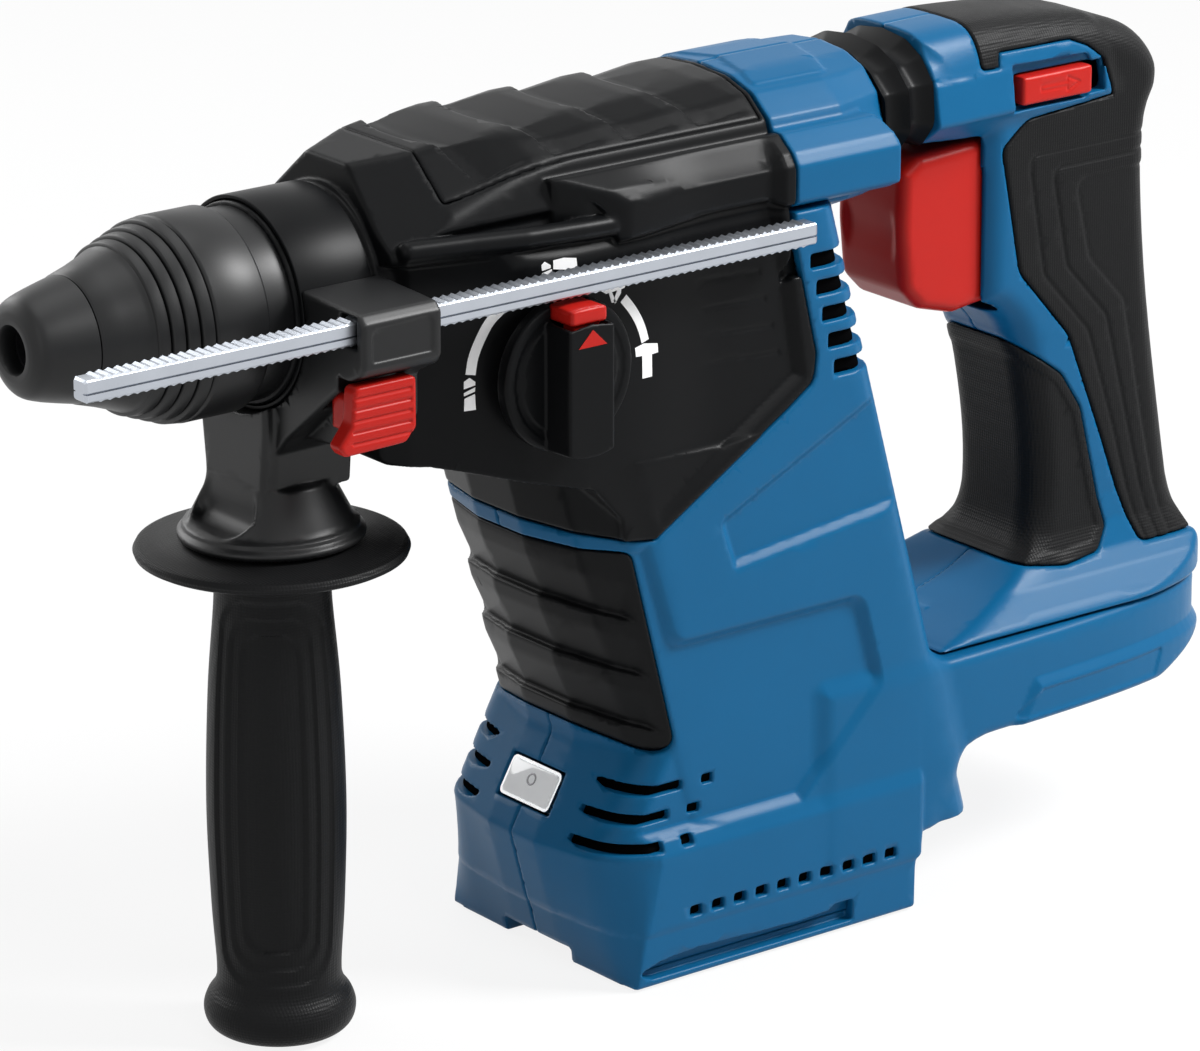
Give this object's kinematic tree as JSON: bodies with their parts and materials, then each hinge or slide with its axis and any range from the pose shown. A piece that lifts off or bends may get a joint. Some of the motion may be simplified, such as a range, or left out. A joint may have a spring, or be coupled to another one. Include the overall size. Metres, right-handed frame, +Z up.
{
  "type": "cordless rotary hammer",
  "caption": "Cordless rotary hammer with a closed rear handle, slide-on battery seat, quick chuck, mode knob, clamped side handle and depth rod.",
  "frame": {"origin": "on the battery seat's flat underside and the tool's middle plane, 12 mm behind the contact block", "axes": "+X from the chuck towards the rear handle, +Y to the tool's right, +Z up from the battery seat towards the hammer axis"},
  "size_m": [0.3635, 0.0873, 0.2166],
  "materials": {
    "blue_casing": "satin, fine grain",
    "black_plastic": "satin",
    "black_rubber": "matt",
    "red_control": "satin",
    "bright_steel": "ground",
    "dark_steel": "oiled",
    "cast_aluminium": "as cast",
    "copper_winding": "varnished",
    "circuit_board": "lacquered",
    "light_lens": "clear"
  },
  "bodies": {
    "casing": {"motor_casing_left": "blue_casing", "motor_casing_right": "blue_casing", "gear_housing": "black_plastic", "gear_cover_top": "black_plastic", "front_bumper": "black_rubber", "light_lens": "light_lens", "battery_seat": "black_plastic", "battery_contacts": "black_plastic", "control_board": "circuit_board", "stator": "copper_winding", "motor_top_bearing": "bright_steel", "motor_lower_bearing": "bright_steel", "handle_pivot_pin": "bright_steel", "chuck_collar": "black_plastic", "spindle_seal": "black_rubber", "spindle_front_bearing": "bright_steel", "spindle_rear_bush": "dark_steel", "intermediate_flange": "cast_aluminium", "shaft_front_bearing": "bright_steel", "shaft_rear_bearing": "bright_steel", "bellows": "black_rubber", "handle_spring": "bright_steel"},
    "rotor": {"rotor": "dark_steel", "fan": "black_plastic"},
    "intermediate_shaft": {"intermediate_shaft": "dark_steel", "bevel_gear": "dark_steel"},
    "spindle": {"tool_holder": "dark_steel", "dust_cap": "black_rubber", "spindle_gear": "dark_steel", "locking_ball_left": "bright_steel", "locking_ball_right": "bright_steel", "chuck_spring": "bright_steel"},
    "chuck_sleeve": {"locking_sleeve": "black_plastic", "ball_retaining_ring": "dark_steel"},
    "wobble_bearing": {"wobble_bearing": "dark_steel"},
    "piston": {"piston": "bright_steel"},
    "striker": {"striker": "dark_steel"},
    "impact_bolt": {"impact_bolt": "dark_steel"},
    "mode_knob": {"mode_knob": "black_plastic"},
    "knob_button": {"knob_release_button": "red_control"},
    "selector_fork": {"selector_fork": "dark_steel"},
    "side_handle": {"clamp_strap": "black_plastic", "side_handle_clamp": "black_plastic", "clamp_bolt": "bright_steel"},
    "side_grip": {"side_handle_grip": "black_rubber"},
    "depth_rod": {"depth_rod": "bright_steel"},
    "depth_button": {"depth_button": "red_control"},
    "rear_handle": {"handle_shell_left": "blue_casing", "handle_shell_right": "blue_casing", "handle_back_grip": "black_rubber", "handle_front_grip": "black_rubber", "trigger_switch": "black_plastic"},
    "trigger": {"trigger": "red_control"},
    "direction_slider": {"direction_slider": "red_control"}
  },
  "joints": [
    {"name": "rotor_turn", "type": "hinge", "parent": "casing", "child": "rotor", "pos_m": [-0.0265, 0, 0.136], "axis": [0.3007, 0, -0.9537], "continuous": true},
    {"name": "shaft_turn", "type": "hinge", "parent": "casing", "child": "intermediate_shaft", "pos_m": [0, 0, 0.136], "axis": [1, 0, 0], "continuous": true},
    {"name": "spindle_turn", "type": "hinge", "parent": "casing", "child": "spindle", "pos_m": [-0.1, 0, 0.166], "axis": [1, 0, 0], "continuous": true},
    {"name": "sleeve_pull", "type": "slide", "parent": "spindle", "child": "chuck_sleeve", "axis": [1, 0, 0], "range_m": [0, 0.0065], "stiffness_N_per_m": 1500, "springref_m": -0.004, "deforming": ["chuck_spring"]},
    {"name": "wobble_rock", "type": "hinge", "parent": "casing", "child": "wobble_bearing", "pos_m": [-0.046, 0, 0.136], "axis": [0, 1, 0], "range_deg": [-10, 10]},
    {"name": "piston_stroke", "type": "slide", "parent": "casing", "child": "piston", "axis": [1, 0, 0], "range_m": [-0.0055, 0.0055]},
    {"name": "striker_flight", "type": "slide", "parent": "casing", "child": "striker", "axis": [1, 0, 0], "range_m": [-0.011, 0.002]},
    {"name": "bolt_strike", "type": "slide", "parent": "spindle", "child": "impact_bolt", "axis": [1, 0, 0], "range_m": [-0.0015, 0.003]},
    {"name": "mode_turn", "type": "hinge", "parent": "casing", "child": "mode_knob", "pos_m": [-0.0665, -0.037, 0.1465], "axis": [0, -1, 0], "range_deg": [-90, 90]},
    {"name": "knob_button_press", "type": "slide", "parent": "mode_knob", "child": "knob_button", "axis": [0, 0, -1], "range_m": [0, 0.0025], "stiffness_N_per_m": 800, "springref_m": -0.002},
    {"name": "fork_shift", "type": "slide", "parent": "casing", "child": "selector_fork", "axis": [1, 0, 0], "range_m": [-0.0022, 0.0022]},
    {"name": "side_handle_turn", "type": "hinge", "parent": "casing", "child": "side_handle", "pos_m": [-0.12, 0, 0.166], "axis": [1, 0, 0], "range_deg": [-10, 1]},
    {"name": "side_grip_turn", "type": "hinge", "parent": "side_handle", "child": "side_grip", "pos_m": [-0.1225, 0, 0.05], "axis": [0, 0, 1], "range_deg": [-180, 180]},
    {"name": "depth_rod_slide", "type": "slide", "parent": "side_handle", "child": "depth_rod", "axis": [1, 0, 0], "range_m": [-0.1, 0.02]},
    {"name": "depth_button_press", "type": "slide", "parent": "side_handle", "child": "depth_button", "axis": [0, 1, 0], "range_m": [0, 0.0025], "stiffness_N_per_m": 800, "springref_m": -0.002},
    {"name": "handle_give", "type": "hinge", "parent": "casing", "child": "rear_handle", "pos_m": [0.074, 0, 0.0395], "axis": [0, 1, 0], "range_deg": [-1, 0], "stiffness_Nm_per_rad": 900, "springref_deg": 0.23, "deforming": ["bellows", "handle_spring"]},
    {"name": "trigger_press", "type": "slide", "parent": "rear_handle", "child": "trigger", "axis": [1, 0, 0], "range_m": [0, 0.007], "stiffness_N_per_m": 900, "springref_m": -0.004},
    {"name": "direction_slide", "type": "slide", "parent": "rear_handle", "child": "direction_slider", "axis": [1, 0, 0], "range_m": [0, 0.005]}
  ],
  "couplings": [
    {"joint": "shaft_turn", "follows": "rotor_turn", "ratio": -0.22222},
    {"joint": "spindle_turn", "follows": "rotor_turn", "ratio": 0.080808},
    {"joint": "piston_stroke", "follows": "wobble_rock", "m_per_rad": 0.03},
    {"joint": "fork_shift", "follows": "mode_turn", "m_per_rad": -0.0013}
  ]
}
